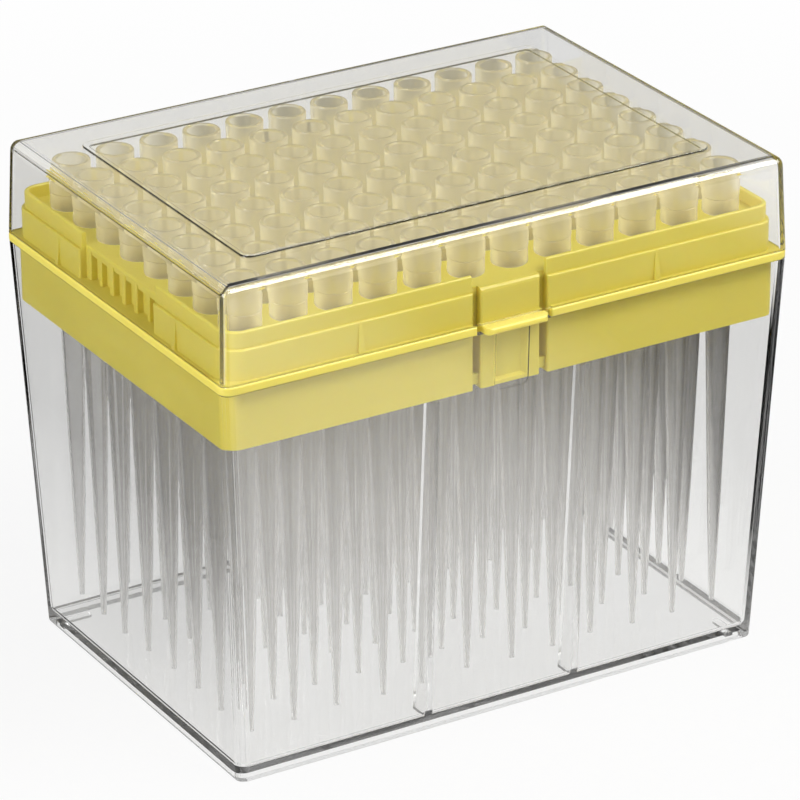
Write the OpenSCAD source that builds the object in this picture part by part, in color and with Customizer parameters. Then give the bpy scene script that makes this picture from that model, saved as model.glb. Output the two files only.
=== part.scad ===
// Box of long pipette tips: a clear drafted base, a moulded tip rack that rests on its rim, a clear
// lift-off lid and ninety-six tips on a 9 mm grid. Millimetres, +Z up, origin at the middle of the
// underside. The twelve tips of a long row run along X, the eight of a column along Y.

/* [Tip grid] */
// Distance between neighbouring tips
pitch = 9; // [8.6:0.1:11]
// Tips in each column, along the short side
rows = 8; // [4:1:10]
// Largest lean of a tip in its hole, in degrees
tip_lean = 0.45; // [0:0.05:0.6]

/* [Tip] */
// Length of a tip
tip_l = 87.4; // [70:0.1:110]
// Collar that stands above the deck, outer diameter at the rim
collar_d = 7.1; // [7:0.1:8.4]
// Outer diameter of the collar where it stands on the deck
shoulder_d = 6.8; // [6.3:0.1:6.9]
// Height of the collar
collar_h = 8.4; // [6:0.1:12]
// Bore of the collar, where a pipette's nozzle goes in
mouth_d = 5.4; // [4.6:0.1:5.6]
// Depth of the straight bore
mouth_h = 5; // [3:0.5:5.5]
// Body just under the collar, outer diameter
body_d = 5.75; // [5:0.05:5.9]
// Diameter where the slow taper turns into the quick one
knee_d = 2.5; // [2:0.1:3]
// Length of the quick taper at the open end
knee_h = 20; // [12:1:30]
// Open end, outer diameter
end_d = 1.0; // [0.9:0.05:1.4]
// Wall of the tapered body
tip_wall = 0.5; // [0.4:0.05:0.6]
// Hole in the open end
orifice_d = 0.5; // [0.4:0.05:0.6]

/* [Rack] */
// From the end tips' axes to the outside of the rack wall, along X
margin_x = 7.1; // [6.8:0.1:12]
// The same along Y
margin_y = 7.8; // [7.4:0.1:12]
// Corner radius of the rack wall above the flange
rack_r = 3.6; // [3:0.1:5]
// Corner radius of the skirt below the flange
skirt_r = 2.2; // [1.8:0.1:4]
// Wall of the rack
rack_wall = 1.5; // [1.2:0.1:1.7]
// Deck that carries the tips
deck_t = 1.6; // [1.2:0.1:3]
// Gap between a tip's body and its hole, on the diameter
hole_gap = 0.4; // [0.3:0.05:0.6]
// Height of the deck's top above the flange's top
deck_rise = 6.4; // [6:0.1:9]
// Height of the rim above the deck
rim_rise = 2.45; // [1:0.05:3.5]
// How far the rim's narrow band lies inside the wide one
band_inset = 0.6; // [0.3:0.05:0.8]
// Height of the wide band above the flange
band_h = 5.7; // [3:0.1:5.8]
// Thickness of the flange
flange_t = 1.7; // [1.2:0.1:2.4]
// How far the flange stands out past the base's rim
flange_lip = 0.2; // [0.1:0.05:1]
// Corner radius of the flange
flange_r = 2.3; // [2:0.1:5]
// Depth of the skirt below the flange
skirt_h = 11.1; // [8:0.1:13]
// Gap between the skirt's lower edge and the base
skirt_gap = 0.2; // [0.15:0.05:0.5]
// Stiffening ribs under the deck, thickness
web_t = 1.0; // [0.6:0.1:1.4]
// Depth of those ribs below the deck
web_h = 5; // [2:0.5:7]

/* [Latch] */
// Width of the latch tongue
tongue_w = 12.2; // [9:0.1:18]
// Width of the slot on each side of the tongue
slot_w = 1.6; // [1:0.1:2]
// Height of the web that closes a slot near the skirt's lower edge
slot_web_h = 2; // [1:0.1:4]
// Distance of that web from the skirt's lower edge
slot_web_rise = 0.7; // [0.4:0.1:2]
// Depth of the slots beside the tongue's lower part
slot_d = 3.2; // [1.6:0.1:3.6]
// Width of the finger ledge
ledge_w = 12.9; // [12:0.1:15]
// How far the finger ledge stands out past the flange
ledge_out = 1.5; // [0.5:0.1:3]
// Thickness of the finger ledge
ledge_t = 1.3; // [0.8:0.1:1.5]
// Width of the panel sunk in the tongue
sunk_w = 6.9; // [4:0.1:8]
// Depth of the sunk panel, with both sides sloped at 45 degrees
sunk_d = 0.8; // [0.3:0.1:1]
// Height of the plain strip below the sunk panel
sunk_rise = 0.7; // [0.2:0.1:2]

/* [Side pockets] */
// Length of the low stretch in the middle of each short side
low_l = 27.7; // [24:0.1:34]
// Distance between the three ribs
pocket_pitch = 4.5; // [3:0.1:6]
// Thickness of a rib
pocket_rib = 1.4; // [0.8:0.1:2]
// Depth of the pockets
pocket_d = 1.3; // [0.6:0.1:1.3]
// How far the low stretch lies inside the wide band
low_inset = 1.4; // [1:0.1:1.8]

/* [Base] */
// Wall of the base
base_wall = 1.2; // [1:0.1:2.4]
// Slope of the base's walls in degrees
base_draft = 2.5; // [1:0.1:3]
// Corner radius of the base, outside
base_r = 1.7; // [1.2:0.1:5]
// Corner radius of the base, inside
base_in_r = 1.5; // [1.3:0.1:4]
// Floor of the base
floor_t = 1.4; // [1:0.1:3]
// Height of the foot rim round the underside
foot_h = 0.9; // [0.4:0.1:2]
// Width of the foot rim along the short sides
foot_w_short = 1.6; // [1:0.1:6]
// Width of the foot rim along the long sides
foot_w_long = 3; // [1:0.1:6]
// Space between the tips and the floor
tip_clear = 4.4; // [3:0.1:10]
// Distance along X of an upright fin from the second column of tips on its side
fin_off = 2.1; // [2:0.1:4.5]
// Thickness of a fin
fin_t = 1.6; // [1:0.1:1.8]
// Distance along Y from the end tips' axes to a fin's edge at the floor
fin_low = 0.9; // [0.8:0.1:3]
// The same at the fin's top
fin_high = 5.3; // [4.5:0.1:5.8]
// Width of the shallow recess inside the wall, facing the latch tongue
relief_w = 7; // [4:0.1:12]
// Depth of that recess
relief_d = 0.35; // [0.1:0.05:0.5]
// How far it reaches below the skirt
relief_drop = 1; // [0.2:0.1:3]

/* [Lid] */
// Wall of the lid
lid_wall = 1.2; // [0.7:0.1:1.8]
// Top of the lid
lid_top = 1; // [0.8:0.1:2.4]
// Space between the tips' rims and the lid's underside
lid_clear = 2.3; // [0.3:0.1:5]
// Gap between the rack wall and the lid's lower edge
lid_gap = 0.7; // [0.5:0.05:1.4]
// Gap between the centring gussets and the lid
gusset_gap = 0.15; // [0.1:0.05:0.3]
// Slope of the lid's walls in degrees
lid_draft = 2; // [0.5:0.1:2.5]
// Corner radius of the lid, outside
lid_r = 1.6; // [1.4:0.1:5]
// Corner radius inside the lid
lid_in_r = 0.6; // [0.4:0.1:3]
// Rounding of the lid's top edge, outside
lid_edge = 2.1; // [0.3:0.1:2.4]
// Height of the raised panel on the lid
panel_h = 0.35; // [0.2:0.05:1.2]
// Distance of the raised panel from the lid's top edge
panel_inset = 9.7; // [6:0.1:16]

/* [Hidden] */
columns = 12;
function column_name(c) = str("tips_column_", c < 10 ? "0" : "", c);

thin = 0.01;
cut = 1;

// Heights, from the underside up
floor_z = foot_h + floor_t;
tip_end_z = floor_z + tip_clear;
tip_rim_z = tip_end_z + tip_l;
deck_z = tip_rim_z - collar_h;
flange_top_z = deck_z - deck_rise;
flange_z = flange_top_z - flange_t;
skirt_z = flange_z - skirt_h;
band_z = flange_top_z + band_h;
rack_top_z = deck_z + rim_rise;
lid_under_z = tip_rim_z + lid_clear;
lid_top_z = lid_under_z + lid_top;

// Half sizes, from the tip grid out
grid_x = (columns - 1) * pitch / 2;
grid_y = (rows - 1) * pitch / 2;
rack_half = [grid_x + margin_x, grid_y + margin_y];
rim_step = skirt_gap + skirt_h * tan(base_draft) + base_wall;
rim_half = rack_half + [rim_step, rim_step];
flange_half = rim_half + [flange_lip, flange_lip];
foot_taper = flange_z * tan(base_draft);
foot_half = rim_half - [foot_taper, foot_taper];
lid_half = rack_half + [lid_gap + lid_wall, lid_gap + lid_wall];
lid_taper = (lid_top_z - flange_top_z) * tan(lid_draft);
panel_half = lid_half - [lid_taper + panel_inset, lid_taper + panel_inset];

hole_d = body_d + hole_gap;
gusset_out = lid_gap - gusset_gap;
gusset_foot = 1.2;
gusset_tip = 0.5;
gusset_x = 30.6;
gusset_y = 22;
low_x = rack_half[0] - low_inset;
pocket_roof = 0.7;
pocket_back = 0.7;
low_cut = max(low_inset, rack_wall) + 0.2;
fin_x = 1.5 * pitch + fin_off;
fin_top_z = skirt_z - 0.4;
relief_r = 1.2;
recess_r = 0.8;
ledge_r = 1.5;
latch_gap = 0.3;
latch_back_t = 0.8;
latch_back_drop = 1;
return_t = 1;
slot_web_t = 0.6;
ledge_gap = 0.1;
pocket_end = 1.6;
panel_r = 2;
panel_step = 1.2;

// Rounded edges
rim_edge = min(0.35, (rack_wall - band_inset) / 2.5);
band_edge = min(0.3, 0.8 * band_inset);
flange_edge = 0.4;
slot_edge = 0.45;
tongue_edge = 0.9;
ledge_edge = 0.4 * ledge_t;
low_edge = 0.4;
low_end_r = 0.4;
rib_edge = 0.3;
foot_edge = 0.25;
floor_edge = 1.2;
lid_inner_edge = 1;
panel_edge = 0.15;

// Two short bars under the floor, inside the foot rim
recess_half = foot_half - [foot_w_short, foot_w_long];
bar_h = 0.5;
bar_w = 1.6;
bar_root = 0.5;
bar_inset = 2.7;
back_bar_l = 6;
right_bar_l = 4.1;

// Points along an arc in three steps
function arc(centre, r, a0, a1) = [
    for (k = [0 : 3])
        let (a = a0 + (a1 - a0) * k / 3)
            centre + r * [cos(a), sin(a)]
];

// A rectangle of the given half sizes with rounded corners, drawn flat
module rounded_rect(half, r) {
    square([2 * half[0], 2 * (half[1] - r)], center = true);
    square([2 * (half[0] - r), 2 * half[1]], center = true);
    for (x = [-1, 1], y = [-1, 1])
        translate([x * (half[0] - r), y * (half[1] - r)])
            circle(r = r, $fn = 48);
}

// An upright plate with rounded corners
module rounded_plate(half, r, z, h) {
    translate([0, 0, z])
        linear_extrude(h)
            rounded_rect(half, r);
}

// An upright ring with rounded corners, from the outline of its hole to its own
module rounded_ring(half, r, hole_half, hole_r, z, h) {
    translate([0, 0, z])
        linear_extrude(h)
            difference() {
                rounded_rect(half, r);
                rounded_rect(hole_half, hole_r);
            }
}

// A section, drawn as [distance outward from a corner's centre, height], carried round a rectangle
// with rounded corners
module swept_round(half, r) {
    for (i = [0 : 3]) {
        ahead = i % 2 == 0 ? half : [half[1], half[0]];
        rotate(90 * i)
            translate([ahead[0] - r, ahead[1] - r, 0]) {
                rotate_extrude(angle = 90, $fn = 48)
                    children();
                rotate([90, 0, 0])
                    linear_extrude(2 * (ahead[1] - r))
                        children();
            }
    }
}

// The outline of a block whose face lies along X at y = 0, that face's two corners rounded
module rounded_face(w, d, r) {
    translate([-w / 2, r])
        square([w, d - r]);
    translate([-w / 2 + r, 0])
        square([w - 2 * r, d]);
    for (x = [-1, 1])
        translate([x * (w / 2 - r), r])
            circle(r = r, $fn = 24);
}

// The outline of a notch in a wall whose face lies along X at y = 0, the two edges of its mouth rounded
module rounded_notch(w, d, r) {
    translate([-w / 2, -cut])
        square([w, d + cut]);
    difference() {
        translate([-w / 2 - r, -cut])
            square([w + 2 * r, r + cut]);
        for (x = [-1, 1])
            translate([x * (w / 2 + r), r])
                circle(r = r, $fn = 24);
    }
}

// Four discs at the corners of a rectangle
module corner_discs(half, r, z) {
    for (x = [-1, 1], y = [-1, 1])
        translate([x * (half[0] - r), y * (half[1] - r), z])
            cylinder(r = r, h = thin, $fn = 32);
}

// A block whose walls slope by the same angle all round. half is its half size at z0 and grow is how
// far each wall has moved out at z1. foot and edge round its lower and upper edges.
module drafted_block(half, grow, z0, z1, r, foot = 0, edge = 0) {
    top = half + [grow, grow];
    hull() {
        for (a = [0 : 22.5 : foot > 0 ? 90 : 0]) {
            in = foot * (1 - sin(a));
            corner_discs(half - [in, in], max(r - in, thin), z0 + foot * (1 - cos(a)));
        }
        for (a = [0 : 15 : edge > 0 ? 90 : 0]) {
            in = edge * (1 - cos(a));
            corner_discs(top - [in, in], max(r - in, thin), z1 - thin - edge * (1 - sin(a)));
        }
    }
}

// The children on the front and on the back
module on_long_sides() {
    for (a = [0, 180])
        rotate(a)
            children();
}

// The children on the right and on the left
module on_short_sides() {
    children();
    mirror([1, 0, 0])
        children();
}

// A plate standing across the Y axis, from a profile drawn as [y, z] points
module plate_across_x(x, t, points) {
    translate([x - t / 2, 0, 0])
        rotate([90, 0, 90])
            linear_extrude(t)
                polygon(points);
}

// A plate standing across the X axis, from a profile drawn as [x, z] points
module plate_across_y(y, t, points) {
    translate([0, y + t / 2, 0])
        rotate([90, 0, 0])
            linear_extrude(t)
                polygon(points);
}

module tip_outline() {
    shoulder = tip_l - collar_h;
    groove = shoulder + 3.2;
    step = 0.1;
    edge = 0.35;
    mouth = tip_l - mouth_h;
    neck = shoulder - 2;
    lead = 0.25;
    polygon([
        [orifice_d / 2, 0],
        [end_d / 2, 0],
        [knee_d / 2, knee_h],
        [body_d / 2, shoulder],
        [shoulder_d / 2 - edge, shoulder],
        [shoulder_d / 2 - edge / 4, shoulder + edge / 4],
        [shoulder_d / 2, shoulder + edge],
        [collar_d / 2 - 2 * step, groove - step],
        [collar_d / 2 - 3 * step, groove],
        [collar_d / 2 - step, groove + step],
        [collar_d / 2, tip_l - lead],
        [collar_d / 2 - lead / 2, tip_l],
        [mouth_d / 2 + lead, tip_l],
        [mouth_d / 2, tip_l - lead],
        [mouth_d / 2, mouth],
        [body_d / 2 - tip_wall, neck],
        [knee_d / 2 - tip_wall, knee_h]
    ]);
}

module tip() {
    rotate_extrude($fn = 48)
        tip_outline();
}

// The lean of the tip in column c and row r: steady, but with no pattern to the eye
function lean(c, r) = let (k = 7 * c + 3 * r)
    tip_lean * [sin(k * 137.5 + 20), cos(k * 99.3 + 50)] * (corner_tip(c, r) ? 0 : 1);
function corner_tip(c, r) = (c == 1 || c == columns) && (r == 1 || r == rows);
// A leaning tip rests on the edge of its shoulder
function lean_lift(a) = shoulder_d / 2 * sin(norm(a));

module tips_column(c) {
    color([0.93, 0.90, 0.84, 0.75])
        for (r = [1 : rows]) {
            a = lean(c, r);
            translate([(c - 1) * pitch - grid_x, (r - 1) * pitch - grid_y, deck_z + lean_lift(a)])
                rotate([a[0], a[1], 0])
                    translate([0, 0, tip_end_z - deck_z])
                        tip();
        }
}

// The wall's section above the flange: the wide band, the narrow band and the round rim
module wall_section() {
    inner = rack_r - rack_wall;
    narrow = rack_r - band_inset;
    polygon(concat(
        [[inner, flange_z], [rack_r, flange_z]],
        arc([rack_r - band_edge, band_z - band_edge], band_edge, 0, 90),
        [[narrow, band_z]],
        arc([narrow - rim_edge, rack_top_z - rim_edge], rim_edge, 0, 90),
        arc([inner + rim_edge, rack_top_z - rim_edge], rim_edge, 90, 180)
    ));
}

// The skirt below the flange
module skirt() {
    rounded_ring(rack_half, skirt_r, rack_half - [rack_wall, rack_wall], skirt_r - rack_wall,
        skirt_z, skirt_h + flange_t / 2);
}

// The flange that rests on the base, with a round lip
module flange() {
    lip_x = flange_r - flange_edge;
    hole_half = rack_half - [rack_wall / 2, rack_wall / 2];
    rounded_ring(flange_half - [flange_edge, flange_edge], lip_x, hole_half, rack_r - rack_wall / 2,
        flange_z, flange_t);
    swept_round(flange_half, flange_r)
        polygon(concat(
            [[lip_x - flange_edge, flange_z]],
            arc([lip_x, flange_z + flange_edge], flange_edge, -90, 0),
            arc([lip_x, flange_top_z - flange_edge], flange_edge, 0, 90),
            [[lip_x - flange_edge, flange_top_z]]
        ));
}

module deck() {
    inner = rack_half - [rack_wall / 2, rack_wall / 2];
    translate([0, 0, deck_z - deck_t])
        linear_extrude(deck_t)
            difference() {
                rounded_rect(inner, rack_r - rack_wall / 2);
                for (c = [0 : columns - 1], r = [0 : rows - 1])
                    translate([c * pitch - grid_x, r * pitch - grid_y])
                        circle(d = hole_d, $fn = 32);
            }
}

// Ribs midway between the holes on the underside of the deck
module deck_webs() {
    inner = rack_half - [rack_wall / 2, rack_wall / 2];
    z = deck_z - deck_t - web_h;
    for (c = [1 : columns - 1])
        translate([c * pitch - pitch / 2 - grid_x - web_t / 2, -inner[1], z])
            cube([web_t, 2 * inner[1], web_h + deck_t / 2]);
    for (r = [1 : rows - 1])
        translate([-inner[0], r * pitch - pitch / 2 - grid_y - web_t / 2, z])
            cube([2 * inner[0], web_t, web_h + deck_t / 2]);
}

// What the latch takes away: the rim above the deck, the flange in front and the two slots
module latch_cuts() {
    front = -rack_half[1];
    opening_w = tongue_w + 2 * slot_w;
    translate([-opening_w / 2, front - cut, deck_z])
        cube([opening_w, rack_wall + 2 * cut, rim_rise + cut]);
    translate([0, -flange_half[1], flange_z - cut])
        linear_extrude(flange_t + 2 * cut)
            rounded_notch(opening_w, flange_half[1] + front, slot_edge);
    for (x = [-1, 1])
        translate([x * (tongue_w + slot_w) / 2, front, skirt_z - cut])
            linear_extrude(deck_z - skirt_z + 2 * cut)
                rounded_notch(slot_w, rack_wall, slot_edge);
}

// The panel sunk in the tongue's face, open at the top below the ledge
module sunk_panel() {
    front = -rack_half[1];
    low = skirt_z + sunk_rise;
    intersection() {
        translate([0, front, low])
            linear_extrude(flange_z - low)
                polygon([
                    [-sunk_w / 2 - cut, -cut],
                    [-sunk_w / 2 + sunk_d, sunk_d],
                    [sunk_w / 2 - sunk_d, sunk_d],
                    [sunk_w / 2 + cut, -cut]
                ]);
        plate_across_x(0, sunk_w + 2 * cut, [
            [front - cut, low - cut / 2],
            [front + sunk_d, low + sunk_d / 2],
            [front + sunk_d, flange_z + cut],
            [front - cut, flange_z + cut]
        ]);
    }
}

// The tongue's upper end, with a round top edge
module tongue_end() {
    front = -rack_half[1];
    low = band_z - cut;
    intersection() {
        translate([0, front, low])
            linear_extrude(deck_z - low)
                rounded_face(tongue_w, rack_wall, slot_edge);
        plate_across_x(0, tongue_w, concat(
            [[front, low], [front + rack_wall, low], [front + rack_wall, deck_z]],
            arc([front + tongue_edge, deck_z - tongue_edge], tongue_edge, 90, 180)
        ));
    }
}

// What stands behind the tongue: ribs along both edges of each slot, and higher up a wall that closes
// the slots from behind, clear of the tongue
module latch_back() {
    root = -rack_half[1] + rack_wall / 2;
    back = -rack_half[1] + rack_wall + latch_gap;
    low = flange_z - latch_back_drop;
    high = deck_z - deck_t / 2;
    slot_out = tongue_w / 2 + slot_w;
    for (x = [-slot_out - return_t, -tongue_w / 2, tongue_w / 2 - return_t, slot_out])
        translate([x, root, skirt_z])
            cube([return_t, slot_d - rack_wall / 2, low - latch_gap - skirt_z]);
    for (x = [-slot_out - return_t, slot_out])
        translate([x, root, low - 2 * latch_gap])
            cube([return_t, back + latch_back_t / 2 - root, high - low + 2 * latch_gap]);
    translate([-slot_out - return_t, back, low])
        cube([2 * (slot_out + return_t), latch_back_t, high - low]);
}

// The finger ledge in front of the tongue, rounded at its nose
module finger_ledge() {
    low = flange_z + ledge_gap;
    top = low + ledge_t;
    nose = -flange_half[1] - ledge_out;
    root = -rack_half[1] + rack_wall / 2;
    intersection() {
        translate([0, nose, low])
            linear_extrude(ledge_t)
                rounded_face(ledge_w, root - nose, ledge_r);
        plate_across_x(0, ledge_w, concat(
            [[root, low], [root, top]],
            arc([nose + ledge_edge, top - ledge_edge], ledge_edge, 90, 180),
            arc([nose + ledge_edge, low + ledge_edge], ledge_edge, 180, 270)
        ));
    }
}

// The thin webs that close the slots beside the tongue's lower end
module slot_webs() {
    translate([-tongue_w / 2 - slot_w, -rack_half[1] + rack_wall - slot_web_t, skirt_z + slot_web_rise])
        cube([tongue_w + 2 * slot_w, slot_web_t, slot_web_h]);
}

// What the low stretch of a short side takes away: the wall outside it, down to the flange
module low_stretch_cut() {
    translate([rack_half[0], 0, flange_top_z])
        rotate(90)
            linear_extrude(rack_top_z - flange_top_z + cut)
                rounded_notch(low_l, low_cut, low_end_r);
}

// The low stretch: a set-back wall with four pockets between three ribs, open outward
module low_stretch() {
    back_x = low_x - pocket_d - pocket_back;
    wall_x = rack_half[0] - rack_wall / 2;
    end_w = rack_wall;
    pocket_h = deck_z - pocket_roof - flange_top_z;
    narrow = pocket_pitch - pocket_rib;
    wide_y = pocket_pitch + pocket_rib / 2;
    wide = low_l / 2 - pocket_end - wide_y;
    difference() {
        plate_across_y(0, low_l + 2 * end_w, concat(
            [[back_x, deck_z], [back_x, flange_z], [low_x, flange_z]],
            arc([low_x - low_edge, deck_z - low_edge], low_edge, 0, 90)
        ));
        for (y = [-1, 1], pocket = [[pocket_pitch / 2, narrow], [wide_y + wide / 2, wide]])
            translate([low_x, y * pocket[0], flange_top_z])
                rotate(90)
                    linear_extrude(pocket_h)
                        rounded_notch(pocket[1], pocket_d, rib_edge);
    }
    for (y = [-1, 1])
        translate([back_x, y * (low_l + end_w) / 2 - end_w / 2, flange_z])
            cube([wall_x - back_x, end_w, deck_z - flange_z]);
    translate([back_x, -low_l / 2, flange_z])
        cube([wall_x - back_x, low_l, flange_t]);
}

// A small rib on the wide band that centres the lid, thinner towards its upper end. It stands on the
// front face, in the plane x = 0, of a wall whose outside is at y = -out.
module gusset(out) {
    foot_z = flange_top_z - flange_t / 2;
    root = out - rack_wall / 2;
    intersection() {
        plate_across_x(0, gusset_foot, [
            [-root, foot_z],
            [-out - gusset_out, foot_z],
            [-out - gusset_out, flange_top_z],
            [-out, band_z],
            [-root, band_z]
        ]);
        plate_across_y(-out, 2 * rack_wall, [
            [-gusset_foot / 2, foot_z],
            [gusset_foot / 2, foot_z],
            [gusset_foot / 2, flange_top_z],
            [gusset_tip / 2, band_z],
            [-gusset_tip / 2, band_z],
            [-gusset_foot / 2, flange_top_z]
        ]);
    }
}

module gussets() {
    for (a = [0, 180], x = [-gusset_x, gusset_x])
        rotate(a)
            translate([x, 0, 0])
                gusset(rack_half[1]);
    for (a = [90, 270], y = [-gusset_y, gusset_y])
        rotate(a)
            translate([y, 0, 0])
                gusset(rack_half[0]);
}

module rack() {
    color([0.86, 0.79, 0.42]) {
        difference() {
            union() {
                swept_round(rack_half, rack_r)
                    wall_section();
                skirt();
                flange();
                deck();
                deck_webs();
            }
            on_long_sides()
                latch_cuts();
            on_long_sides()
                sunk_panel();
            on_short_sides()
                low_stretch_cut();
        }
        on_long_sides() {
            tongue_end();
            slot_webs();
            latch_back();
            finger_ledge();
        }
        on_short_sides()
            low_stretch();
        gussets();
    }
}

// How far the middle of the front wall's thickness lies from the origin at height z
function wall_mid_y(z) = foot_half[1] + z * tan(base_draft) - base_wall / 2;

// An upright fin on the inside of the front wall, from the floor to just under the rack's skirt
module base_fin(x) {
    sunk_z = floor_z - floor_t / 2;
    plate_across_x(x, fin_t, [
        [-wall_mid_y(floor_z), sunk_z],
        [-grid_y - fin_low, sunk_z],
        [-grid_y - fin_low, floor_z],
        [-grid_y - fin_high, fin_top_z],
        [-wall_mid_y(fin_top_z), fin_top_z]
    ]);
}

// The shallow recess on the inside of the front wall, facing the latch tongue: everything between
// the inner faces and the same faces moved outward
module latch_relief(inner_floor) {
    low = skirt_z - relief_drop;
    intersection() {
        drafted_block(inner_floor + [relief_d, relief_d], (flange_z + cut - floor_z) * tan(base_draft),
            floor_z, flange_z + cut, base_in_r + relief_d);
        translate([0, -rack_half[1] + rack_wall, low])
            rotate([90, 0, 0])
                linear_extrude(rim_half[1])
                    rounded_face(relief_w, flange_z - low + 2 * cut, relief_r);
    }
}

// A low bar under the floor with one round end, running from the origin along X
module floor_bar(l) {
    translate([0, 0, foot_h - bar_h])
        linear_extrude(bar_h + floor_t / 2) {
            translate([-bar_root, -bar_w / 2])
                square([bar_root + l - bar_w / 2, bar_w]);
            translate([l - bar_w / 2, 0])
                circle(d = bar_w, $fn = 24);
        }
}

module base() {
    inner_floor = foot_half + [1, 1] * (floor_z * tan(base_draft) - base_wall);
    color([0.80, 0.80, 0.82, 0.35]) {
        difference() {
            drafted_block(foot_half, foot_taper, 0, flange_z, base_r, foot = foot_edge);
            drafted_block(inner_floor, (flange_z + cut - floor_z) * tan(base_draft),
                floor_z, flange_z + cut, base_in_r, foot = floor_edge);
            on_long_sides()
                latch_relief(inner_floor);
            rounded_plate(recess_half, recess_r, -cut, foot_h + cut);
        }
        on_long_sides()
            for (x = [-fin_x, fin_x])
                base_fin(x);
        translate([-recess_half[0], recess_half[1] - bar_inset, 0])
            floor_bar(back_bar_l);
        translate([recess_half[0] - bar_inset, -recess_half[1], 0])
            rotate(90)
                floor_bar(right_bar_l);
    }
}

module lid() {
    below = flange_top_z - cut;
    inner = lid_half + [1, 1] * (cut * tan(lid_draft) - lid_wall);
    step = [panel_step, panel_step];
    color([0.80, 0.80, 0.82, 0.35])
        difference() {
            union() {
                drafted_block(lid_half, -lid_taper, flange_top_z, lid_top_z, lid_r, edge = lid_edge);
                drafted_block(panel_half, 0, lid_top_z - lid_top / 2, lid_top_z + panel_h, panel_r,
                    edge = panel_edge);
            }
            drafted_block(inner, -(lid_under_z - below) * tan(lid_draft), below, lid_under_z,
                lid_in_r, edge = lid_inner_edge);
            rounded_plate(panel_half - step, panel_r - panel_step, lid_under_z - cut, panel_h + cut);
        }
}

base();
rack();
lid();
for (c = [1 : columns])
    tips_column(c);
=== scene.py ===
"""Box of pipette tips: moulded-plastic materials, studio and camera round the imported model.

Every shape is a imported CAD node. Lengths are in metres and angles in degrees.
"""

import math

import bpy
from mathutils import Matrix, Vector


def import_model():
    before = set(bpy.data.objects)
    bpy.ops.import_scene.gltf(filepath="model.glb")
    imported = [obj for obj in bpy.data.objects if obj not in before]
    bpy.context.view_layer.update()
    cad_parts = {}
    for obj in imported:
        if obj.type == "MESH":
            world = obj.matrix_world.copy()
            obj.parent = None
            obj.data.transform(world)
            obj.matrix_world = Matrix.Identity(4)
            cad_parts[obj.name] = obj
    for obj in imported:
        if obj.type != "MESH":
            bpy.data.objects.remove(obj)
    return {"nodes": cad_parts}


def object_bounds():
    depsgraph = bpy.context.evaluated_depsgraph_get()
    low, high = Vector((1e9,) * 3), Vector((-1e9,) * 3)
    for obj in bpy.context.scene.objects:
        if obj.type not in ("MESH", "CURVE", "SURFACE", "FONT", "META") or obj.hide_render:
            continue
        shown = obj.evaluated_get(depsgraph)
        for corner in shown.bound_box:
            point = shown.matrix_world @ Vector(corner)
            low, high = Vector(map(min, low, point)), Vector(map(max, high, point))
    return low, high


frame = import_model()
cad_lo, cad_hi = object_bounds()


# ---------------------------------------------------------------- node helpers


class Graph:
    """A node tree with short calls for making and joining nodes."""

    def __init__(self, tree):
        self.tree = tree
        tree.nodes.clear()

    def add(self, kind, **settings):
        node = self.tree.nodes.new(kind)
        for name, value in settings.items():
            setattr(node, name, value)
        return node

    def put(self, node, **values):
        """Sets or links a node's inputs: a socket is linked, anything else is its own value."""
        for name, value in values.items():
            socket = node.inputs[name.replace("_", " ")]
            if isinstance(value, bpy.types.NodeSocket):
                self.tree.links.new(value, socket)
            else:
                socket.default_value = value
        return node

    def link(self, output, node, index):
        self.tree.links.new(output, node.inputs[index])

    def math(self, operation, first, second=None):
        node = self.add("ShaderNodeMath", operation=operation)
        for index, value in enumerate((first, second)):
            if isinstance(value, bpy.types.NodeSocket):
                self.link(value, node, index)
            elif value is not None:
                node.inputs[index].default_value = value
        return node.outputs[0]

    def coords(self):
        return self.add("ShaderNodeTexCoord").outputs["Object"]

    def stretched(self, vector, scale):
        node = self.add("ShaderNodeMapping", vector_type="POINT")
        self.put(node, Vector=vector, Scale=scale)
        return node.outputs[0]

    def noise(self, vector, scale, detail):
        node = self.add("ShaderNodeTexNoise")
        self.put(node, Vector=vector, Scale=scale, Detail=detail, Roughness=0.5)
        return node.outputs["Fac"]

    def to_range(self, value, low, high, start=0.3, end=0.7):
        """value from start to end becomes low to high; a noise spans about 0.3 to 0.7."""
        node = self.add("ShaderNodeMapRange")
        self.put(node, Value=value, From_Min=start, From_Max=end, To_Min=low, To_Max=high)
        return node.outputs[0]

    def blend(self, factor, first, second):
        """A colour between first and second."""
        node = self.add("ShaderNodeMix", data_type="RGBA")
        self.link(factor, node, 0)
        for index, colour in ((6, first), (7, second)):
            if isinstance(colour, bpy.types.NodeSocket):
                self.link(colour, node, index)
            else:
                node.inputs[index].default_value = (*colour, 1.0)
        return node.outputs[2]

    def bump(self, height, distance):
        node = self.add("ShaderNodeBump")
        self.put(node, Height=height, Distance=distance, Strength=1.0)
        return node.outputs[0]

    def mix(self, factor, first, second):
        """A shader between first and second."""
        node = self.add("ShaderNodeMixShader")
        self.link(factor, node, 0)
        self.link(first, node, 1)
        self.link(second, node, 2)
        return node.outputs[0]


def grey(level):
    return (level, level, level)


def linear(level):
    """One channel written in 0 to 255 as the linear value that a shader takes."""
    share = level / 255
    return share / 12.92 if level <= 10 else ((share + 0.055) / 1.055) ** 2.4


def srgb(red, green, blue):
    return (linear(red), linear(green), linear(blue))


def material(name):
    made = bpy.data.materials.new(name)
    made.use_nodes = True
    return made, Graph(made.node_tree)


def let_lamps_in(graph, shader, tint):
    """The same shader for what is seen, and tinted air for rays that carry the lamps' light."""
    path = graph.add("ShaderNodeLightPath")
    light = graph.math("MAXIMUM", path.outputs["Is Shadow Ray"], path.outputs["Is Diffuse Ray"])
    clear = graph.put(graph.add("ShaderNodeBsdfTransparent"), Color=(*tint, 1.0))
    return graph.mix(light, shader, clear.outputs[0])


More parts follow.
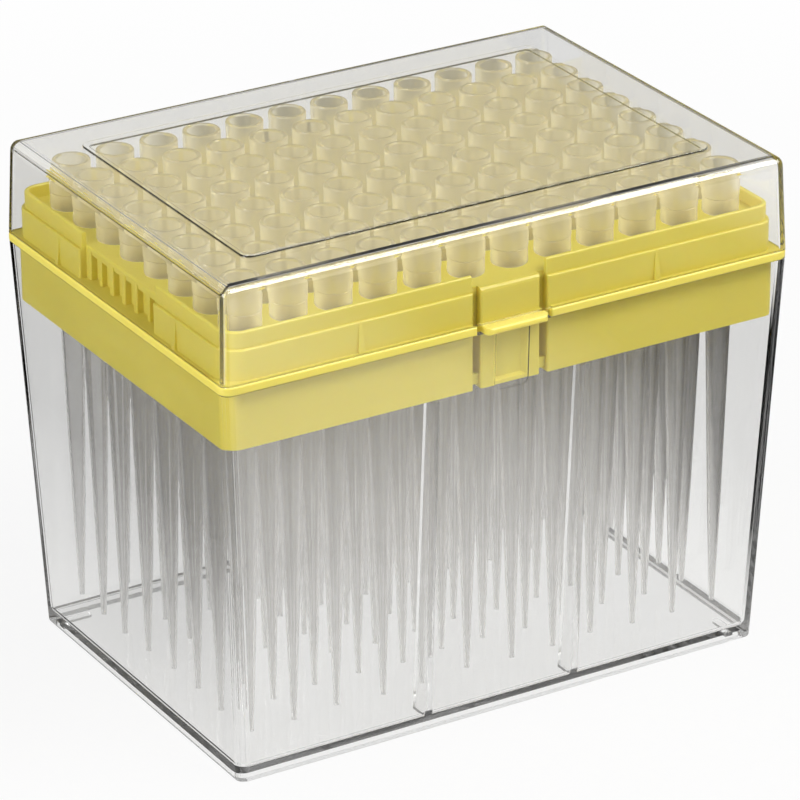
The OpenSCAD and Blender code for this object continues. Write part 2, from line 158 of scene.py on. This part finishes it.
# ------------------------------------------------------------------- materials
# A pair of colours or numbers is the two ends of that material's variation.

CLEAR_COLOURS = (0.965, 0.965, 0.96), (0.985, 0.985, 0.98)
CLEAR_ROUGHNESS = 0.0, 0.035
CLEAR_IOR = 1.59
CLEAR_WAVE_HEIGHT = 0.00012
CLEAR_FINE_SHARE = 0.01  # of the fine grain in that height
CLEAR_LAMP_TINT = grey(0.97)
CLEAR_DEPTH_TINT = grey(0.80)
CLEAR_DEPTH_DENSITY = 92.0  # per metre

RACK_COLOURS = srgb(213, 198, 86), srgb(219, 205, 95)
RACK_ROUGHNESS = 0.33, 0.45
RACK_BROAD_SHARE, RACK_FLOW_SHARE = 0.7, 0.3
RACK_GLOW = 0.3
RACK_GLOW_RADIUS = (1.0, 0.7, 0.15)
RACK_GLOW_DEPTH = 0.0025
RACK_GRAIN_HEIGHT = 0.000012

POLYPROPYLENE_IOR = 1.49

# Heights between which the tips' colour turns from grey-white to a painted cream, up to the
# rack's deck: painted yellow bounce light from the rack
TIP_PAINTED_BOUNCE_LOW = 0.070
TIP_PAINTED_BOUNCE_HIGH = 0.087
TIP_PLAIN = (0.86, 0.858, 0.854), (0.89, 0.888, 0.884)
# Painted bounce light: the cream and pale cream below stand for the rack's yellow light on the
# collars
TIP_PAINTED_BOUNCE_CREAM = (0.95, 0.87, 0.57), (0.96, 0.89, 0.63)
TIP_PAINTED_BOUNCE_PALE = (0.965, 0.945, 0.84), (0.98, 0.96, 0.88)
TIP_ROUGHNESS = 0.02, 0.05
TIP_COLLAR_ROUGHNESS = 0.07  # more at the collar
TIP_CLEARNESS = 0.94
TIP_DRAWN_HEIGHT = 0.000004
TIP_HAZE = 0.07
TIP_COLLAR_HAZE = 0.2  # more at the collar
TIP_LAMP_TINT = (0.983, 0.979, 0.97)


def clear_plastic(name):
    """Clear polystyrene: sharp, faintly grey in depth, with the slow waviness of a moulding."""
    made, g = material(name)
    at = g.coords()
    slow = g.noise(at, 28.0, detail=1.0)
    fine = g.noise(at, 900.0, detail=3.0)
    haze = g.noise(at, 60.0, detail=3.0)
    bsdf = g.add("ShaderNodeBsdfPrincipled")
    surface = g.math("ADD", slow, g.math("MULTIPLY", fine, CLEAR_FINE_SHARE))
    bumpy = g.bump(surface, CLEAR_WAVE_HEIGHT)
    g.put(
        bsdf,
        Base_Color=g.blend(g.to_range(haze, 0.0, 1.0), *CLEAR_COLOURS),
        Roughness=g.to_range(haze, *CLEAR_ROUGHNESS),
        IOR=CLEAR_IOR,
        Transmission_Weight=1.0,
        Normal=bumpy,
    )
    out = g.add("ShaderNodeOutputMaterial")
    g.link(let_lamps_in(g, bsdf.outputs[0], CLEAR_LAMP_TINT), out, 0)
    depth = g.add("ShaderNodeVolumeAbsorption")
    g.put(depth, Color=(*CLEAR_DEPTH_TINT, 1.0), Density=CLEAR_DEPTH_DENSITY)
    g.link(depth.outputs[0], out, 1)
    return made


def rack_plastic(name):
    """Pale yellow polypropylene, satin, a little light going into it."""
    made, g = material(name)
    at = g.coords()
    broad = g.noise(at, 22.0, detail=2.0)
    grain = g.noise(at, 2600.0, detail=2.0)
    flow = g.noise(g.stretched(at, (60.0, 60.0, 320.0)), 1.0, detail=3.0)
    tone = g.math(
        "ADD",
        g.math("MULTIPLY", broad, RACK_BROAD_SHARE),
        g.math("MULTIPLY", flow, RACK_FLOW_SHARE),
    )
    bsdf = g.add("ShaderNodeBsdfPrincipled")
    g.put(
        bsdf,
        Base_Color=g.blend(g.to_range(tone, 0.0, 1.0), *RACK_COLOURS),
        Roughness=g.to_range(flow, *RACK_ROUGHNESS),
        IOR=POLYPROPYLENE_IOR,
        Subsurface_Weight=RACK_GLOW,
        Subsurface_Radius=RACK_GLOW_RADIUS,
        Subsurface_Scale=RACK_GLOW_DEPTH,
        Normal=g.bump(grain, RACK_GRAIN_HEIGHT),
    )
    out = g.add("ShaderNodeOutputMaterial")
    g.link(bsdf.outputs[0], out, 0)
    return made


def tip_plastic(name):
    """Natural polypropylene: thin, clear and hazy, with painted cream bounce light from the rack
    where the collars stand in it.
    """
    made, g = material(name)
    at = g.coords()
    drawn = g.noise(g.stretched(at, (260.0, 260.0, 24.0)), 1.0, detail=2.0)
    cloud = g.noise(at, 140.0, detail=2.0)
    milk = g.to_range(cloud, 0.0, 1.0)
    height = g.add("ShaderNodeSeparateXYZ")
    g.link(at, height, 0)
    collar = g.to_range(
        height.outputs["Z"], 0.0, 1.0, start=TIP_PAINTED_BOUNCE_LOW, end=TIP_PAINTED_BOUNCE_HIGH
    )
    plain = g.blend(milk, *TIP_PLAIN)
    # Painted bounce light: the cream and pale colours paint the rack's yellow light into the
    # collars
    painted_cream = g.blend(milk, *TIP_PAINTED_BOUNCE_CREAM)
    painted_pale = g.blend(milk, *TIP_PAINTED_BOUNCE_PALE)
    body = g.add("ShaderNodeBsdfPrincipled")
    g.put(
        body,
        Base_Color=g.blend(collar, plain, painted_pale),
        Roughness=g.math(
            "ADD",
            g.to_range(drawn, *TIP_ROUGHNESS),
            g.math("MULTIPLY", collar, TIP_COLLAR_ROUGHNESS),
        ),
        IOR=POLYPROPYLENE_IOR,
        Transmission_Weight=TIP_CLEARNESS,
        Normal=g.bump(drawn, TIP_DRAWN_HEIGHT),
    )
    glow = g.add("ShaderNodeBsdfTranslucent")
    g.put(glow, Color=g.blend(collar, plain, painted_cream))
    out = g.add("ShaderNodeOutputMaterial")
    haze = g.math("ADD", g.math("MULTIPLY", collar, TIP_COLLAR_HAZE), TIP_HAZE)
    seen = g.mix(haze, body.outputs[0], glow.outputs[0])
    g.link(let_lamps_in(g, seen, TIP_LAMP_TINT), out, 0)
    return made


MATERIALS = {
    "base": clear_plastic("clear_base"),
    "lid": clear_plastic("clear_lid"),
    "rack": rack_plastic("rack_plastic"),
}
TIPS = tip_plastic("tip_plastic")  # for tips_column_01 to tips_column_12

for name, node in frame["nodes"].items():
    for slot in node.material_slots:
        slot.material = MATERIALS.get(name, TIPS)


# ---------------------------------------------------------------------- studio

OBJECT_MIDDLE = Vector((0.0, 0.0, 0.05))  # what the lamps face

FLOOR_SIZE = 6.0
PAPER_COLOURS = grey(0.60), grey(0.63)
# Distances to each side of the middle between which a painted dark reflection begins and ends: a
# black strip of floor colour that only reflections and the tips show
PAINTED_DARK_BEGINS = 0.055, 0.095
PAINTED_DARK_ENDS = 0.18, 0.21
# How white the floor is to the eye, near the object and away from it
VIEWED_WHITE = 0.88, 1.0
VIEWED_FROM, VIEWED_TO = 0.1, 0.4
# How white it is inside the glass, near the object and away from it
INSIDE_WHITE = 0.9, 0.25
INSIDE_FROM, INSIDE_TO = 0.3, 0.9

ROOM_STRENGTH = 0.30
WHITE_STRENGTH = 1.0
MIRRORED_WHITE = 0.15  # share of white that reflections and the glass itself show

# A depth counts surfaces crossed or reflections met, so its limit lies between whole numbers
NO_REFLECTION = 0.5
TWO_WALLS = 4.5

FULL_WHITE = (1.0, 1.0, 1.0, 1.0)
NEUTRAL = (1.0, 1.0, 1.0)
WARM = (1.0, 0.99, 0.97)

# name, azimuth, elevation, distance, width, height, power, colour, whether gloss mirrors it
LAMPS = (
    ("key", 42.0, 48.0, 0.9, 0.5, 0.4, 6.5, WARM, True),
    ("front", 0.0, 22.0, 1.0, 0.7, 0.5, 1.2, NEUTRAL, False),
    ("left", -82.0, 22.0, 1.2, 0.8, 0.6, 11.8, NEUTRAL, True),
    ("top", 20.0, 80.0, 1.2, 0.7, 0.7, 2.5, NEUTRAL, True),
)

# Light is reflected many times inside the walls' edges and crosses many tips
LIGHT_BOUNCES = 32
CLEAR_CROSSINGS = 64

scene = bpy.context.scene


def toward(azimuth, elevation):
    """The direction from the object to a viewer or lamp; azimuth 0 is in front, at -Y."""
    a, e = math.radians(azimuth), math.radians(elevation)
    return Vector((math.sin(a) * math.cos(e), -math.cos(a) * math.cos(e), math.sin(e)))


def seen_through(g, path):
    """One for a ray that came straight through two clear walls, without a reflection."""
    straight = g.math("LESS_THAN", path.outputs["Glossy Depth"], NO_REFLECTION)
    two_walls = g.math("LESS_THAN", path.outputs["Transmission Depth"], TWO_WALLS)
    both = g.math("MULTIPLY", straight, two_walls)
    return g.math("MULTIPLY", path.outputs["Is Transmission Ray"], both)


def floor():
    """Pale paper with a painted dark reflection on each side: black floor colour which only
    reflections and the tips show.
    """
    bpy.ops.mesh.primitive_plane_add(size=FLOOR_SIZE, location=(0.0, 0.0, cad_lo.z))
    plane = bpy.context.object
    plane.name = "floor"
    made, g = material("floor_paper")
    at = g.coords()
    paper = g.noise(at, 400.0, detail=3.0)
    path = g.add("ShaderNodeLightPath")
    glossy, transmitted = path.outputs["Is Glossy Ray"], path.outputs["Is Transmission Ray"]
    place = g.add("ShaderNodeSeparateXYZ")
    g.link(at, place, 0)
    aside = g.math("ABSOLUTE", place.outputs["X"])
    near_side = g.to_range(aside, 1.0, 0.0, *PAINTED_DARK_BEGINS)
    far_side = g.to_range(aside, 0.0, 1.0, *PAINTED_DARK_ENDS)
    unpainted = g.math("MAXIMUM", near_side, far_side)
    through = seen_through(g, path)
    mirrored = g.math("MAXIMUM", glossy, transmitted)
    reflected = g.math("MULTIPLY", mirrored, g.math("SUBTRACT", 1.0, through))
    # Painted dark reflection: beside the object the floor colour turns black for reflected rays
    # and rays through the tips
    painted_dark = g.math("MULTIPLY", reflected, g.math("SUBTRACT", 1.0, unpainted))
    sheet = g.blend(g.to_range(paper, 0.0, 1.0), *PAPER_COLOURS)
    lit = g.add("ShaderNodeBsdfDiffuse")
    g.put(lit, Color=g.blend(painted_dark, sheet, grey(0.0)))
    white = g.add("ShaderNodeEmission")
    g.put(white, Color=FULL_WHITE, Strength=WHITE_STRENGTH)
    away = g.add("ShaderNodeVectorMath", operation="LENGTH")
    g.link(at, away, 0)
    distance = away.outputs["Value"]
    viewed = g.math("MAXIMUM", path.outputs["Is Camera Ray"], through)
    direct = g.math(
        "MULTIPLY", viewed, g.to_range(distance, *VIEWED_WHITE, VIEWED_FROM, VIEWED_TO)
    )
    inside = g.math(
        "MULTIPLY", g.to_range(distance, *INSIDE_WHITE, INSIDE_FROM, INSIDE_TO), unpainted
    )
    shown = g.math("MAXIMUM", direct, g.math("MULTIPLY", transmitted, inside))
    out = g.add("ShaderNodeOutputMaterial")
    g.link(g.mix(shown, lit.outputs[0], white.outputs[0]), out, 0)
    plane.data.materials.append(made)


def world():
    """A soft grey room that lights the object, and white behind it to the eye."""
    made = bpy.data.worlds.new("studio")
    scene.world = made
    made.use_nodes = True
    g = Graph(made.node_tree)
    path = g.add("ShaderNodeLightPath")
    through = seen_through(g, path)
    mirrored = g.math(
        "MAXIMUM", path.outputs["Is Glossy Ray"], path.outputs["Is Transmission Ray"]
    )
    viewed = g.math("MAXIMUM", path.outputs["Is Camera Ray"], through)
    seen = g.math("MAXIMUM", viewed, g.math("MULTIPLY", mirrored, MIRRORED_WHITE))
    room = g.add("ShaderNodeBackground")
    g.put(room, Color=FULL_WHITE, Strength=ROOM_STRENGTH)
    back = g.add("ShaderNodeBackground")
    g.put(back, Color=FULL_WHITE, Strength=WHITE_STRENGTH)
    out = g.add("ShaderNodeOutputWorld")
    g.link(g.mix(seen, room.outputs[0], back.outputs[0]), out, 0)


def lamp(name, azimuth, elevation, distance, width, height, power, colour, mirrored):
    """A soft rectangular lamp that faces the middle of the object."""
    light = bpy.data.lights.new(name, "AREA")
    light.shape = "RECTANGLE"
    light.size, light.size_y = width, height
    light.energy, light.color = power, colour
    holder = bpy.data.objects.new(name, light)
    scene.collection.objects.link(holder)
    back = toward(azimuth, elevation)
    holder.location = OBJECT_MIDDLE + back * distance
    holder.rotation_mode = "QUATERNION"
    holder.rotation_quaternion = back.to_track_quat("Z", "Y")
    holder.visible_glossy = mirrored


floor()
world()
for settings in LAMPS:
    lamp(*settings)


# ---------------------------------------------------------------------- camera
# The photograph's view, fitted to the 9 mm grid of tips and the box's long edges

CAMERA_AZIMUTH = -30.633
CAMERA_ELEVATION = 24.804
CAMERA_ROLL = -0.342
CAMERA_DISTANCE = 0.928805
CAMERA_TARGET_Z = 0.047078
CAMERA_TARGET_RIGHT = 0.000711
CAMERA_LENS = 226.08  # millimetres, as the sensor is
CAMERA_SENSOR = 36.0
CAMERA_CLIP = 0.05, 20.0


def camera():
    data = bpy.data.cameras.new("camera")
    data.sensor_width, data.lens = CAMERA_SENSOR, CAMERA_LENS
    data.clip_start, data.clip_end = CAMERA_CLIP
    holder = bpy.data.objects.new("camera", data)
    scene.collection.objects.link(holder)
    back = toward(CAMERA_AZIMUTH, CAMERA_ELEVATION)
    turned, roll = math.radians(CAMERA_AZIMUTH), math.radians(CAMERA_ROLL)
    right = Vector((math.cos(turned), math.sin(turned), 0.0))
    up = back.cross(right)
    target = Vector((0.0, 0.0, CAMERA_TARGET_Z)) + right * CAMERA_TARGET_RIGHT
    place = target + back * CAMERA_DISTANCE
    across = right * math.cos(roll) + up * math.sin(roll)
    upward = up * math.cos(roll) - right * math.sin(roll)
    turn = Matrix((across, upward, back)).transposed().to_4x4()
    holder.matrix_world = Matrix.Translation(place) @ turn
    scene.camera = holder


camera()
scene.view_settings.view_transform = "Standard"
scene.cycles.max_bounces = LIGHT_BOUNCES
scene.cycles.glossy_bounces = LIGHT_BOUNCES
scene.cycles.transmission_bounces = LIGHT_BOUNCES
scene.cycles.transparent_max_bounces = CLEAR_CROSSINGS
